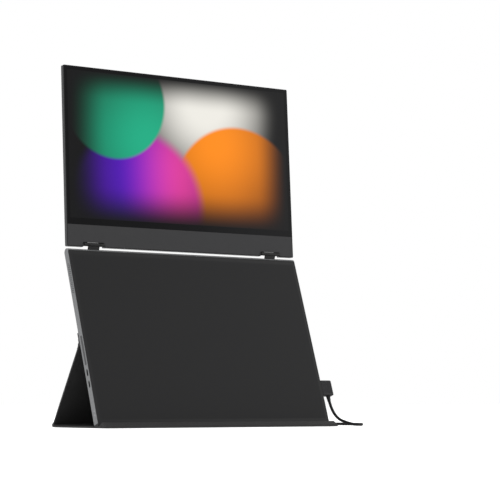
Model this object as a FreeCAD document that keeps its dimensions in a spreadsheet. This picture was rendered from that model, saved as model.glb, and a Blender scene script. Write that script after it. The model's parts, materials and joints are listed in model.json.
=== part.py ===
import FreeCAD, Part
import math
import os
import Sketcher

# Laptop screen extender: a wide display on a hinged lower panel, with a folding
# leather-covered stand behind it and a cable in its right side.
# Millimetres. X runs to the right of the display, Y to the back, Z up.
# The origin is on the desk, under the middle of the object.

os.makedirs("parts", exist_ok=True)
doc = FreeCAD.newDocument("ScreenExtender")
sheet = doc.addObject("Spreadsheet::Sheet", "Sizes")

# Driving dimensions
dimensions = {
    "panelWidth": 355.2,
    "panelHeight": 236.0,
    "displayLean": 3.53,
    "displayDepth": 5.8,
    "displayFootY": 32.0,
    "displayFootZ": 230.08,
    "displayWall": 1.0,
    "displayBack": 1.0,
    "displayCorner": 1.6,
    "displayFootWall": 1.2,
    "chinHeight": 28.7,
    "chinThickness": 1.0,
    "fitGap": 0.1,
    "glassThickness": 0.9,
    "glassInset": 0.1,
    "imageWidth": 344.2,
    "imageHeight": 193.6,
    "imageFoot": 37.1,
    "cellMargin": 2.0,
    "cellFootMargin": 3.0,
    "cellFront": 1.1,
    "cellThickness": 1.3,
    "backlightFront": 2.5,
    "backlightThickness": 1.8,
    "timingFront": 2.6,
    "timingThickness": 1.0,
    "timingHalf": 90.0,
    "timingLowS": 12.0,
    "timingHighS": 26.0,
    "flexFront": 4.45,
    "flexThickness": 0.2,
    "flexHalf": 18.0,
    "flexLowS": 20.0,
    "flexHighS": 58.0,
    "notchFromSide": 39.0,
    "notchWidth": 31.0,
    "notchHeight": 6.2,
    "bossWall": 1.2,
    "bossSide": 1.5,
    "fingerOffset": 11.7,
    "fingerWidth": 6.6,
    "leafFront": 2.2,
    "leafThickness": 1.2,
    "leafTop": 31.0,
    "axisHeight": 3.0,
    "axisFront": 0.6,
    "barrelRadius": 2.3,
    "barrelLength": 16.0,
    "tiltPinRadius": 1.0,
    "armFront": 3.4,
    "armThickness": 1.6,
    "armFootS": 204.0,
    "screwRadius": 1.6,
    "screwHeight": 0.9,
    "leafScrewS": 22.0,
    "armScrewRise": 8.0,
    "pinClearance": 0.05,
    "baseLean": 19.743,
    "baseDepth": 10.6,
    "baseFootY": -48.9,
    "baseFootZ": 6.47,
    "baseWall": 1.5,
    "coverThickness": 1.2,
    "sideCut": 3.0,
    "portLength": 9.2,
    "portHeight": 3.3,
    "portLowS": 52.4,
    "portHighS": 67.6,
    "rightPortS": 51.0,
    "rockerLowS": 77.5,
    "rockerHighS": 117.0,
    "rockerHeight": 3.4,
    "rockerTravel": 0.6,
    "speakerLowS": 175.0,
    "speakerHighS": 214.0,
    "speakerHoleRadius": 0.75,
    "speakerHolePitch": 2.6,
    "speakerRowOffset": 1.3,
    "speakerDepth": 6.6,
    "speakerWidth": 22.0,
    "speakerFront": 2.0,
    "speakerDish": 8.5,
    "speakerDishFloor": 3.0,
    "speakerDishDepth": 3.0,
    "lightRadius": 0.7,
    "lightLowS": 12.0,
    "lightHighS": 17.0,
    "boardFront": 3.4,
    "boardThickness": 1.6,
    "boardHalf": 150.0,
    "boardLowS": 30.0,
    "boardHighS": 120.0,
    "chipThickness": 1.3,
    "stiffenerFront": 6.6,
    "stiffenerThickness": 2.4,
    "stiffenerHalf": 140.0,
    "stiffenerLowS": 128.0,
    "stiffenerHighS": 168.0,
    "standS": 108.0,
    "standOffset": 2.6,
    "standPinRadius": 0.9,
    "kneeRadius": 2.4,
    "footRadius": 2.6,
    "footReach": 68.0,
    "skinThickness": 0.8,
    "coreThickness": 0.8,
    "flapSkin": 0.7,
    "leafPlate": 1.0,
    "stripThickness": 1.4,
    "stripTopS": 123.0,
    "toeThickness": 2.6,
    "toeBackY": -39.0,
    "flapGap": 2.5,
    "cableDiameter": 3.8,
    "plugLength": 21.0,
    "plugReach": 17.8,
    "plugExit": 9.9,
    "plugThickness": 7.5,
    "plugCentreDepth": 3.4,
    "plugBelowPort": 14.0,
    "plugTipHalf": 4.1,
    "plugTipThickness": 2.3,
    "reliefLength": 7.5,
    "reliefGrip": 4.0,
}
for row, (alias, number) in enumerate(dimensions.items(), start=1):
    sheet.set("A%d" % row, alias)
    sheet.set("B%d" % row, str(number))
    sheet.setAlias("B%d" % row, alias)
doc.recompute()


def size(alias):
    return float(sheet.get(alias))


Vector = FreeCAD.Vector
acrossX = Vector(1, 0, 0)
halfWidth = size("panelWidth") / 2
nodes = []

# Poses of the two panels: local X across, local Y from front to back, local Z up the panel
displayPose = FreeCAD.Placement(
    Vector(0, size("displayFootY"), size("displayFootZ")),
    FreeCAD.Rotation(acrossX, -size("displayLean")),
)
basePose = FreeCAD.Placement(
    Vector(0, size("baseFootY"), size("baseFootZ")),
    FreeCAD.Rotation(acrossX, -size("baseLean")),
)


def keep(part, name, pose=None):
    part.Label = name
    if pose is not None:
        part.Placement = pose
    nodes.append((name, part))
    return part


def planeOf(body, role):
    for feature in body.Origin.OriginFeatures:
        if feature.Role == role:
            return feature
    return None


def bindPoint(sketch, line, point, xText, zText):
    names = (("DistanceX", xText), ("DistanceY", zText))
    for kind, text in names:
        index = sketch.addConstraint(Sketcher.Constraint(kind, -1, 1, line, point, 1.0))
        sketch.setExpression("Constraints[%d]" % index, text)


def addRectangle(sketch, low, high):
    # low and high are the corners, each a pair of expressions
    corners = [(low[0], low[1]), (high[0], low[1]), (high[0], high[1]), (low[0], high[1])]
    first = sketch.GeometryCount
    guess = [Vector(-1, -1, 0), Vector(1, -1, 0), Vector(1, 1, 0), Vector(-1, 1, 0)]
    for i in range(4):
        sketch.addGeometry(Part.LineSegment(guess[i], guess[(i + 1) % 4]), False)
    for i in range(4):
        joint = Sketcher.Constraint("Coincident", first + i, 2, first + (i + 1) % 4, 1)
        sketch.addConstraint(joint)
    for i in range(4):
        bindPoint(sketch, first + i, 1, corners[i][0], corners[i][1])


def frontSketch(body, name, depthText):
    # A sketch parallel to the panel's front face, at a depth behind it
    sketch = doc.addObject("Sketcher::SketchObject", name)
    body.addObject(sketch)
    sketch.AttachmentSupport = [(planeOf(body, "XZ_Plane"), "")]
    sketch.MapMode = "FlatFace"
    sketch.setExpression("AttachmentOffset.Base.z", "-(%s)" % depthText)
    doc.recompute()
    return sketch


def plateBody(name, low, high, front, thickness):
    # One rectangular plate as a body: corners on the panel, depth of its front, thickness
    body = doc.addObject("PartDesign::Body", name + "_body")
    sketch = frontSketch(body, name + "_outline", front)
    addRectangle(sketch, low, high)
    doc.recompute()
    pad = doc.addObject("PartDesign::Pad", name + "_pad")
    body.addObject(pad)
    pad.Profile = sketch
    pad.Reversed = True
    pad.setExpression("Length", thickness)
    body.Tip = pad
    doc.recompute()
    return body


def pocketRectangles(body, name, rectangles, front, depth):
    sketch = frontSketch(body, name + "_outline", front)
    for low, high in rectangles:
        addRectangle(sketch, low, high)
    doc.recompute()
    volumeBefore = body.Tip.Shape.Volume
    pocket = doc.addObject("PartDesign::Pocket", name + "_pocket")
    body.addObject(pocket)
    pocket.Profile = sketch
    pocket.setExpression("Length", depth)
    body.Tip = pocket
    doc.recompute()
    if volumeBefore - body.Tip.Shape.Volume < 1.0:
        raise RuntimeError("pocket %s took nothing away" % name)
    return pocket


def block(name, x, y, z):
    # A box from three pairs of expressions or numbers, low and high along each axis
    box = doc.addObject("Part::Box", name)
    for side, pair in (("Length", x), ("Width", y), ("Height", z)):
        box.setExpression(side, "(%s) - (%s)" % (pair[1], pair[0]))
    for letter, pair in (("x", x), ("y", y), ("z", z)):
        box.setExpression("Placement.Base." + letter, "%s" % pair[0])
    return box


def rod(name, radius, x, y, z, angle=None):
    # A cylinder along X: radius, low and high ends, and the place of its axis
    cylinder = doc.addObject("Part::Cylinder", name)
    cylinder.setExpression("Radius", "%s" % radius)
    cylinder.setExpression("Height", "(%s) - (%s)" % (x[1], x[0]))
    if angle is not None:
        cylinder.Angle = angle
    cylinder.Placement = FreeCAD.Placement(Vector(0, 0, 0), FreeCAD.Rotation(Vector(0, 1, 0), 90))
    cylinder.setExpression("Placement.Base.x", "%s" % x[0])
    cylinder.setExpression("Placement.Base.y", "%s" % y)
    cylinder.setExpression("Placement.Base.z", "%s" % z)
    return cylinder


def joinParts(name, parts):
    joined = doc.addObject("Part::MultiFuse", name)
    joined.Shapes = parts
    return joined


def cutParts(name, base, tools):
    cut = doc.addObject("Part::Cut", name)
    cut.Base = base
    cut.Tool = tools[0] if len(tools) == 1 else joinParts(name + "_tools", tools)
    return cut


def groupParts(name, parts):
    group = doc.addObject("Part::Compound", name)
    group.Links = parts
    return group


# Display: shell
sides = (-1, 1)
notchSides = (("left", -1), ("right", 1))


def notchCentre(side):
    return "(%d) * (Sizes.panelWidth / 2 - Sizes.notchFromSide)" % side


def makeDisplayShell():
    edge = "Sizes.panelWidth / 2"
    body = plateBody("display_shell", ("-(%s)" % edge, "0"), (edge, "Sizes.panelHeight"),
                     "0", "Sizes.displayDepth")
    corners = []
    for index, line in enumerate(body.Tip.Shape.Edges, start=1):
        if abs(line.Length - size("displayDepth")) < 0.01:
            corners.append("Edge%d" % index)
    fillet = doc.addObject("PartDesign::Fillet", "display_shell_corners")
    body.addObject(fillet)
    fillet.Base = (doc.getObject("display_shell_pad"), corners)
    fillet.setExpression("Radius", "Sizes.displayCorner")
    body.Tip = fillet
    doc.recompute()
    inner = "(Sizes.panelWidth / 2 - Sizes.displayWall)"
    bossTop = "(Sizes.notchHeight + Sizes.bossWall)"
    footWall = "Sizes.displayFootWall"
    pocketRectangles(body, "display_tray",
                     [(("-%s" % inner, bossTop), (inner, "Sizes.panelHeight - Sizes.displayWall"))],
                     "0", "Sizes.displayDepth - Sizes.displayBack")
    # The lower strip of the tray runs between the hinge bosses, at full depth of the chin cover
    bossHalf = "(Sizes.notchWidth / 2 + Sizes.bossSide)"
    rightBoss = notchCentre(1)
    strips = [
        (("-%s" % inner, footWall), ("-(%s) - %s" % (rightBoss, bossHalf), bossTop)),
        (("-(%s) + %s" % (rightBoss, bossHalf), footWall), ("%s - %s" % (rightBoss, bossHalf), bossTop)),
        (("%s + %s" % (rightBoss, bossHalf), footWall), (inner, bossTop)),
    ]
    pocketRectangles(body, "display_tray_foot", strips, "0", "Sizes.displayDepth - Sizes.displayBack")
    # Room for the chin cover in front of the bosses
    pocketRectangles(body, "display_chin_room",
                     [(("-%s" % inner, footWall), (inner, bossTop))], "0", "Sizes.chinThickness")
    # The hinge notches go right through, and two finger slots go up from each into the tray
    notches = []
    for side in sides:
        centre = notchCentre(side)
        notches.append((("%s - Sizes.notchWidth / 2" % centre, "-1"),
                        ("%s + Sizes.notchWidth / 2" % centre, "Sizes.notchHeight")))
    pocketRectangles(body, "display_notches", notches, "0", "Sizes.displayDepth")
    fingers = []
    for side in sides:
        centre = notchCentre(side)
        for end in (-1, 1):
            middle = "%s + (%d) * Sizes.fingerOffset" % (centre, end)
            half = "(Sizes.fingerWidth / 2 + 2 * Sizes.fitGap)"
            fingers.append((("%s - %s" % (middle, half), "Sizes.notchHeight - 0.5"),
                            ("%s + %s" % (middle, half), bossTop + " + Sizes.fitGap")))
    pocketRectangles(body, "display_finger_slots", fingers, "Sizes.leafFront - 2 * Sizes.fitGap",
                     "Sizes.leafThickness + 4 * Sizes.fitGap")
    return keep(body, "display_rear_shell", displayPose)


def makeChinCover():
    inner = "(Sizes.panelWidth / 2 - Sizes.displayWall - Sizes.fitGap)"
    body = plateBody("chin_cover", ("-%s" % inner, "Sizes.displayFootWall + Sizes.fitGap"),
                     (inner, "Sizes.chinHeight - Sizes.fitGap"), "0", "Sizes.chinThickness")
    notches = []
    for side in sides:
        centre = notchCentre(side)
        notches.append((("%s - Sizes.notchWidth / 2" % centre, "0"),
                        ("%s + Sizes.notchWidth / 2" % centre, "Sizes.notchHeight")))
    pocketRectangles(body, "chin_notches", notches, "0", "Sizes.chinThickness")
    return keep(body, "display_chin_cover", displayPose)


def makeDisplayPlates():
    inner = "(Sizes.panelWidth / 2 - Sizes.displayWall - Sizes.fitGap)"
    glass = plateBody("cover_glass", ("-%s" % inner, "Sizes.chinHeight"),
                      (inner, "Sizes.panelHeight - Sizes.displayWall - Sizes.fitGap"),
                      "Sizes.glassInset", "Sizes.glassThickness")
    keep(glass, "display_cover_glass", displayPose)
    cellHalf = "(Sizes.imageWidth / 2 + Sizes.cellMargin)"
    low = ("-%s" % cellHalf, "Sizes.imageFoot - Sizes.cellFootMargin")
    high = (cellHalf, "Sizes.imageFoot + Sizes.imageHeight + Sizes.cellMargin")
    cell = plateBody("lcd_cell", low, high, "Sizes.cellFront", "Sizes.cellThickness")
    keep(cell, "lcd_cell", displayPose)
    tray = plateBody("backlight", low, high, "Sizes.backlightFront", "Sizes.backlightThickness")
    keep(tray, "backlight_tray", displayPose)
    board = plateBody("timing_board", ("-Sizes.timingHalf", "Sizes.timingLowS"),
                      ("Sizes.timingHalf", "Sizes.timingHighS"), "Sizes.timingFront", "Sizes.timingThickness")
    keep(board, "timing_board", displayPose)
    flex = plateBody("display_flex", ("-Sizes.flexHalf", "Sizes.flexLowS"),
                     ("Sizes.flexHalf", "Sizes.flexHighS"), "Sizes.flexFront", "Sizes.flexThickness")
    keep(flex, "display_flex", displayPose)
    chips = []
    chipHalf = 4.0
    chipRise = 0.8
    chipFront = size("timingFront") + size("timingThickness")
    chipHeight = (size("timingLowS") + 2.5, size("timingLowS") + 7.5)
    for number, x in enumerate((-60, -22, 20, 64)):
        chips.append(block("timing_chip_%d" % number, (x - chipHalf, x + chipHalf),
                           (chipFront, chipFront + chipRise), chipHeight))
    keep(groupParts("timing_chips_group", chips), "timing_chips", displayPose)


# Tilt hinges between the display and the lower panel
def screwAt(name, x, depth, height):
    # A flat screw head whose back face is at that depth, its axis from front to back
    screw = doc.addObject("Part::Cylinder", name)
    screw.setExpression("Radius", "Sizes.screwRadius")
    screw.setExpression("Height", "Sizes.screwHeight")
    screw.Placement = FreeCAD.Placement(Vector(0, 0, 0), FreeCAD.Rotation(acrossX, 90))
    screw.setExpression("Placement.Base.x", x)
    screw.setExpression("Placement.Base.y", depth)
    screw.setExpression("Placement.Base.z", height)
    return screw


def makeTiltHinge(label, side):
    centre = notchCentre(side)
    depth = "-Sizes.axisFront"
    height = "Sizes.axisHeight"
    leafHalf = "(Sizes.fingerOffset + Sizes.fingerWidth / 2)"
    leafDepth = ("Sizes.leafFront", "Sizes.leafFront + Sizes.leafThickness")
    webHeight = ("Sizes.axisHeight - 1.4", "Sizes.axisHeight + 1.4")
    plateFoot = "Sizes.notchHeight + Sizes.bossWall + 0.6"
    pieces = []
    for tag, end in (("a", -1), ("b", 1)):
        middle = "%s + (%d) * Sizes.fingerOffset" % (centre, end)
        x = ("%s - Sizes.fingerWidth / 2" % middle, "%s + Sizes.fingerWidth / 2" % middle)
        tag = "%s_%s" % (label, tag)
        pieces.append(rod("leaf_knuckle_" + tag, "Sizes.barrelRadius", x, depth, height))
        pieces.append(block("leaf_web_" + tag, x, (depth, leafDepth[1]), webHeight))
        pieces.append(block("leaf_finger_" + tag, x, leafDepth, (webHeight[0], plateFoot + " + 1")))
    across = ("%s - %s" % (centre, leafHalf), "%s + %s" % (centre, leafHalf))
    pieces.append(block("leaf_plate_" + label, across, leafDepth, (plateFoot, "Sizes.leafTop")))
    leaf = joinParts("leaf_solid_" + label, pieces)
    through = ("%s - Sizes.notchWidth" % centre, "%s + Sizes.notchWidth" % centre)
    bore = rod("leaf_bore_" + label, "Sizes.tiltPinRadius", through, depth, height)
    keep(cutParts("leaf_cut_" + label, leaf, [bore]), "tilt_leaf_" + label, displayPose)
    pin = rod("tilt_pin_solid_" + label, "Sizes.tiltPinRadius", across, depth, height)
    keep(groupParts("tilt_pin_group_" + label, [pin]), "tilt_pin_" + label, displayPose)
    screws = []
    for offset in (-9, 9):
        screws.append(screwAt("leaf_screw", "%s + (%d)" % (centre, offset),
                              "Sizes.leafFront + Sizes.leafThickness + Sizes.screwHeight",
                              "Sizes.leafScrewS"))
    return screws


# Place of the tilt axis on the lower panel, for the arms that carry its barrels
axisPoint = displayPose.multVec(Vector(0, -size("axisFront"), size("axisHeight")))
axisOnBase = basePose.inverse().multVec(axisPoint)


def makeTiltArm(label, side):
    # The arm holds the barrel in front of the panel's rounded top and runs down inside it
    middle = side * (halfWidth - size("notchFromSide"))
    half = size("barrelLength") / 2
    depth = axisOnBase.y
    height = axisOnBase.z
    barrel = Part.makeCylinder(size("barrelRadius"), 2 * half, Vector(middle - half, depth, height), acrossX)
    plateFront = size("armFront")
    plateBack = plateFront + size("armThickness")
    foot = size("armFootS")
    outline = [
        Vector(middle - half, depth + 1.0, height + 1.2),
        Vector(middle - half, plateBack, height - 6.6),
        Vector(middle - half, plateBack, foot),
        Vector(middle - half, plateFront, foot),
        Vector(middle - half, plateFront, height - 7.2),
        Vector(middle - half, depth - 0.9, height - 1.2),
    ]
    face = Part.Face(Part.makePolygon(outline + outline[:1]))
    arm = face.extrude(Vector(2 * half, 0, 0))
    bore = Part.makeCylinder(size("tiltPinRadius") + size("pinClearance"), 2 * half + 2,
                             Vector(middle - half - 1, depth, height), acrossX)
    solid = barrel.fuse(arm).cut(bore)
    part = doc.addObject("Part::Feature", "tilt_arm_solid_" + label)
    part.Shape = solid.removeSplitter()
    return keep(part, "tilt_arm_" + label, basePose)


# Lower panel
bullnose = "(Sizes.baseDepth / 2)"
noseS = "(Sizes.panelHeight - Sizes.baseDepth / 2)"
lightPlaces = ("Sizes.lightLowS", "Sizes.lightHighS")


def throughWall(side):
    # Low and high ends of a cut through the left or right wall
    return ("%s" % (side * halfWidth - size("sideCut")), "%s" % (side * halfWidth + size("sideCut")))


def sideHole(name, side, s, radius, depth):
    # A round hole through a side wall
    return rod(name, radius, throughWall(side), depth, s)


def sideSlot(name, side, s, length, height):
    # A slot with round ends through a side wall, long way up the panel
    depth = ("%s - %s / 2" % (bullnose, height), "%s + %s / 2" % (bullnose, height))
    lowEnd = "%s - %s / 2 + %s / 2" % (s, length, height)
    highEnd = "%s + %s / 2 - %s / 2" % (s, length, height)
    pieces = [block(name + "_middle", throughWall(side), depth, (lowEnd, highEnd))]
    for number, place in enumerate((lowEnd, highEnd)):
        endName = "%s_end_%d" % (name, number)
        pieces.append(rod(endName, "%s / 2" % height, throughWall(side), bullnose, place))
    return pieces


def makeBaseShell():
    edge = "Sizes.panelWidth / 2"
    slab = block("base_slab", ("-(%s)" % edge, edge), ("Sizes.coverThickness", "Sizes.baseDepth"),
                 ("0", noseS))
    nose = rod("base_nose", bullnose, ("-(%s)" % edge, edge), bullnose, noseS, angle=180)
    # The half cylinder is turned so that its round side is up
    turn = FreeCAD.Rotation(Vector(0, 1, 0), 90).multiply(FreeCAD.Rotation(Vector(0, 0, 1), 90))
    nose.Placement.Rotation = turn
    outer = joinParts("base_outer", [slab, nose])
    inner = "(Sizes.panelWidth / 2 - Sizes.baseWall)"
    tools = [block("base_cavity", ("-%s" % inner, inner),
                   ("Sizes.coverThickness - 1", "Sizes.baseDepth - Sizes.baseWall"),
                   ("Sizes.baseWall", "%s - 2" % noseS))]
    for label, side in notchSides:
        centre = notchCentre(side)
        slotHalf = "(Sizes.barrelLength / 2 + 0.5)"
        across = ("%s - %s" % (centre, slotHalf), "%s + %s" % (centre, slotHalf))
        tools.append(block("arm_slot_" + label, across,
                           ("Sizes.armFront - 1.2", "Sizes.armFront + Sizes.armThickness + 1.2"),
                           ("%s - 4" % noseS, "Sizes.panelHeight + 2")))
    tools += sideSlot("port_low", -1, "Sizes.portLowS", "Sizes.portLength", "Sizes.portHeight")
    tools += sideSlot("port_high", -1, "Sizes.portHighS", "Sizes.portLength", "Sizes.portHeight")
    tools += sideSlot("port_right", 1, "Sizes.rightPortS", "Sizes.portLength", "Sizes.portHeight")
    tools += sideSlot("rocker_hole", -1, "(Sizes.rockerLowS + Sizes.rockerHighS) / 2",
                      "(Sizes.rockerHighS - Sizes.rockerLowS)", "(Sizes.rockerHeight + 0.5)")
    holeCount = int((size("speakerHighS") - size("speakerLowS")) / size("speakerHolePitch")) + 1
    for side in sides:
        for number in range(holeCount):
            # Two rows, one half a pitch further up than the other
            for row, shift in ((-1, 0.0), (1, 0.5)):
                s = "Sizes.speakerLowS + %s * Sizes.speakerHolePitch" % (number + shift)
                tools.append(sideHole("speaker_hole", side, s, "Sizes.speakerHoleRadius",
                                      "%s + (%d) * Sizes.speakerRowOffset" % (bullnose, row)))
    for s in lightPlaces:
        tools.append(sideHole("light_hole", -1, s, "Sizes.lightRadius", bullnose))
    return keep(cutParts("base_shell_cut", outer, tools), "base_rear_shell", basePose)


def makeBaseInside():
    edge = "Sizes.panelWidth / 2"
    cover = plateBody("front_cover", ("-(%s)" % edge, "0"), (edge, noseS), "0", "Sizes.coverThickness")
    keep(cover, "base_front_cover", basePose)
    board = plateBody("main_board", ("-Sizes.boardHalf", "Sizes.boardLowS"),
                      ("Sizes.boardHalf", "Sizes.boardHighS"), "Sizes.boardFront", "Sizes.boardThickness")
    keep(board, "main_board", basePose)
    chips = []
    chipFront = size("boardFront") + size("boardThickness")
    chipBack = chipFront + size("chipThickness")
    # Each chip: its place across and up the panel, and half its side
    for x, s, half in ((-90, 70, 7), (-40, 92, 9), (10, 60, 6), (62, 96, 8), (112, 66, 6)):
        chips.append(block("board_chip", (x - half, x + half), (chipFront, chipBack), (s - half, s + half)))
    keep(groupParts("board_chips_group", chips), "board_chips", basePose)
    stiffener = plateBody("steel_plate", ("-Sizes.stiffenerHalf", "Sizes.stiffenerLowS"),
                          ("Sizes.stiffenerHalf", "Sizes.stiffenerHighS"),
                          "Sizes.stiffenerFront", "Sizes.stiffenerThickness")
    keep(stiffener, "base_stiffener", basePose)
    for label, side in notchSides:
        outerX = side * (halfWidth - size("baseWall") - 0.3)
        innerX = outerX - side * size("speakerWidth")
        low = min(outerX, innerX)
        high = max(outerX, innerX)
        front = size("speakerFront")
        frame = block("speaker_box_" + label, (low, high), (front, front + size("speakerDepth")),
                      ("Sizes.speakerLowS - 2", "Sizes.speakerHighS + 3"))
        middle = (low + high) / 2
        dish = doc.addObject("Part::Cone", "speaker_dish_" + label)
        dish.setExpression("Radius1", "Sizes.speakerDish")
        dish.setExpression("Radius2", "Sizes.speakerDishFloor")
        dish.setExpression("Height", "Sizes.speakerDishDepth")
        dish.Placement = FreeCAD.Placement(Vector(middle, front - 0.1, 0), FreeCAD.Rotation(acrossX, -90))
        dish.setExpression("Placement.Base.z", "(Sizes.speakerLowS + Sizes.speakerHighS) / 2")
        keep(cutParts("speaker_cut_" + label, frame, [dish]), "speaker_" + label, basePose)


def stadium(halfLength, radius, x, s):
    # A bar with round ends: it runs along X, and its long way goes up the panel
    depth = size("baseDepth") / 2
    reach = x[1] - x[0]
    straight = halfLength - radius
    core = Part.makeBox(reach, 2 * radius, 2 * straight, Vector(x[0], depth - radius, s - straight))
    lowEnd = Part.makeCylinder(radius, reach, Vector(x[0], depth, s - straight), acrossX)
    highEnd = Part.makeCylinder(radius, reach, Vector(x[0], depth, s + straight), acrossX)
    return core.fuse([lowEnd, highEnd]).removeSplitter()


def makeSocket(name, side, s):
    # A port's metal mouth, set into the wall, with a tongue inside
    setIn = 0.2
    reach = 8.0
    metal = 0.3
    backWall = 1.0
    tongueRoom = 2.0
    half = (size("portLength") - size("fitGap")) / 2
    radius = (size("portHeight") - size("fitGap")) / 2
    outer = halfWidth - setIn
    shell = stadium(half, radius, (outer - reach, outer), s)
    mouth = stadium(half - metal, radius - metal, (outer - reach + backWall, outer + setIn), s)
    tongue = Part.makeBox(reach - tongueRoom, 0.7, 6.2,
                          Vector(outer - reach, size("baseDepth") / 2 - 0.35, s - 3.1))
    solid = shell.cut(mouth).fuse(tongue).removeSplitter()
    if side < 0:
        solid = solid.mirror(Vector(0, 0, 0), acrossX)
    part = doc.addObject("Part::Feature", name + "_solid")
    part.Shape = solid
    return keep(part, name, basePose)


def makeRocker():
    # Flush with the wall, it moves inwards; the wide flange behind the wall keeps it in
    endGap = 0.3
    flangeThickness = 0.8
    flangeReach = 1.0
    flangeHalf = 2.6
    outerX = -halfWidth
    flangeX = -(halfWidth - size("baseWall") - size("fitGap"))
    flangeBack = flangeX + flangeThickness
    halfHeight = "Sizes.rockerHeight / 2"
    lowS = "Sizes.rockerLowS + %s" % endGap
    highS = "Sizes.rockerHighS - %s" % endGap
    endPlaces = ("%s + %s" % (lowS, halfHeight), "%s - %s" % (highS, halfHeight))
    pieces = [
        block("rocker_bar", (outerX, flangeX),
              ("%s - %s" % (bullnose, halfHeight), "%s + %s" % (bullnose, halfHeight)), endPlaces),
        block("rocker_flange", (flangeX, flangeBack),
              ("%s - %s" % (bullnose, flangeHalf), "%s + %s" % (bullnose, flangeHalf)),
              ("%s - %s" % (lowS, flangeReach), "%s + %s" % (highS, flangeReach))),
    ]
    for number, s in enumerate(endPlaces):
        pieces.append(rod("rocker_end_%d" % number, halfHeight, (outerX, flangeX), bullnose, s))
    keep(joinParts("rocker_solid", pieces), "rocker_button", basePose)
    switches = []
    switchHalf = 2.5
    switchReach = 3.0
    inside = flangeBack + size("rockerTravel") + endGap
    for number, s in enumerate((86.0, 97.0, 108.0)):
        switches.append(block("rocker_switch_%d" % number, (inside, inside + switchReach),
                              ("%s - 1.6" % bullnose, "%s + 1.6" % bullnose),
                              (s - switchHalf, s + switchHalf)))
    keep(groupParts("rocker_switches_group", switches), "rocker_switches", basePose)


def makeLights():
    lamps = []
    for s in lightPlaces:
        lamps.append(rod("status_lamp", "Sizes.lightRadius - 0.05",
                         ("%s" % (-halfWidth + 0.1), "%s" % (-halfWidth + 2.6)), bullnose, s))
    keep(groupParts("status_lamps_group", lamps), "status_lights", basePose)


# Stand: knuckles alternate along X between the two leaves of each hinge
segmentCount = 9
segment = size("panelWidth") / segmentCount
endPlay = 0.2


def knuckles(radius, odd, origin):
    # Every other segment of the width, each a little short where it meets the other leaf
    pieces = []
    for number in range(odd, segmentCount, 2):
        x0 = -halfWidth + number * segment + (endPlay if number else 0.0)
        x1 = -halfWidth + (number + 1) * segment - (endPlay if number < segmentCount - 1 else 0.0)
        knuckle = Part.makeCylinder(radius, x1 - x0, Vector(x0, origin.x, origin.y), acrossX)
        pieces.append((x0, x1, knuckle))
    return pieces


def boxBetween(x0, x1, y0, y1, z0, z1):
    return Part.makeBox(x1 - x0, y1 - y0, z1 - z0, Vector(x0, y0, z0))


def feature(name, shape, pose):
    part = doc.addObject("Part::Feature", name + "_solid")
    part.Shape = shape
    return keep(part, name, pose)


pivotDepth = size("baseDepth") + size("standOffset")
legPivot = basePose.multVec(Vector(0, pivotDepth, size("standS")))
footPivot = Vector(0, size("footReach") - size("footRadius"), size("footRadius"))
legVector = footPivot - legPivot
legLength = legVector.Length
legTurn = math.degrees(math.atan2(legVector.y, -legVector.z))
legPose = FreeCAD.Placement(legPivot, FreeCAD.Rotation(acrossX, legTurn))
flapPose = FreeCAD.Placement(footPivot, FreeCAD.Rotation())
plateGap = 0.7


def alongStand(radius, y, z, past):
    # A rod along the stand's whole width, longer or shorter by so much at each end
    return Part.makeCylinder(radius, 2 * (halfWidth + past), Vector(-halfWidth - past, y, z), acrossX)


def makeStandLeaf():
    # The fixed leaf lies on the lower panel's back under a strip of the covering
    back = size("baseDepth")
    s = size("standS")
    top = size("stripTopS")
    leafBack = back + size("leafPlate")
    plateFoot = s + size("kneeRadius") + plateGap
    solid = boxBetween(-halfWidth, halfWidth, back, leafBack, plateFoot, top)
    for x0, x1, knuckle in knuckles(size("kneeRadius"), 0, Vector(pivotDepth, s, 0)):
        web = boxBetween(x0, x1, back + 0.2, leafBack, s, plateFoot + 1)
        solid = solid.fuse([knuckle, web])
    bore = alongStand(size("standPinRadius") + size("pinClearance"), pivotDepth, s, 1)
    feature("stand_fixed_leaf", solid.cut(bore).removeSplitter(), basePose)
    skin = boxBetween(-halfWidth, halfWidth, leafBack, leafBack + size("stripThickness"), plateFoot, top)
    feature("stand_fixed_strip", skin, basePose)


def makeLeg():
    core = size("coreThickness") / 2
    outer = core + size("skinThickness")
    kneeClear = size("kneeRadius") + plateGap
    footClear = size("footRadius") + plateGap
    solid = boxBetween(-halfWidth, halfWidth, -core, core, -legLength + footClear, -kneeClear)
    for x0, x1, knuckle in knuckles(size("kneeRadius"), 1, Vector(0, 0, 0)):
        solid = solid.fuse([knuckle, boxBetween(x0, x1, -core, core, -kneeClear - 1, 0)])
    for x0, x1, knuckle in knuckles(size("footRadius"), 0, Vector(0, -legLength, 0)):
        solid = solid.fuse([knuckle, boxBetween(x0, x1, -core, core, -legLength, -legLength + footClear + 1)])
    kneeBore = alongStand(size("standPinRadius"), 0, 0, 1)
    footBore = alongStand(size("standPinRadius") + size("pinClearance"), 0, -legLength, 1)
    feature("leg_core", solid.cut([kneeBore, footBore]).removeSplitter(), legPose)
    low = -legLength + footClear
    feature("leg_skin_outer", boxBetween(-halfWidth, halfWidth, core, outer, low, -kneeClear), legPose)
    feature("leg_skin_inner", boxBetween(-halfWidth, halfWidth, -outer, -core, low, -kneeClear), legPose)
    feature("leg_hinge_pin", alongStand(size("standPinRadius"), 0, 0, -0.5), legPose)


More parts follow.
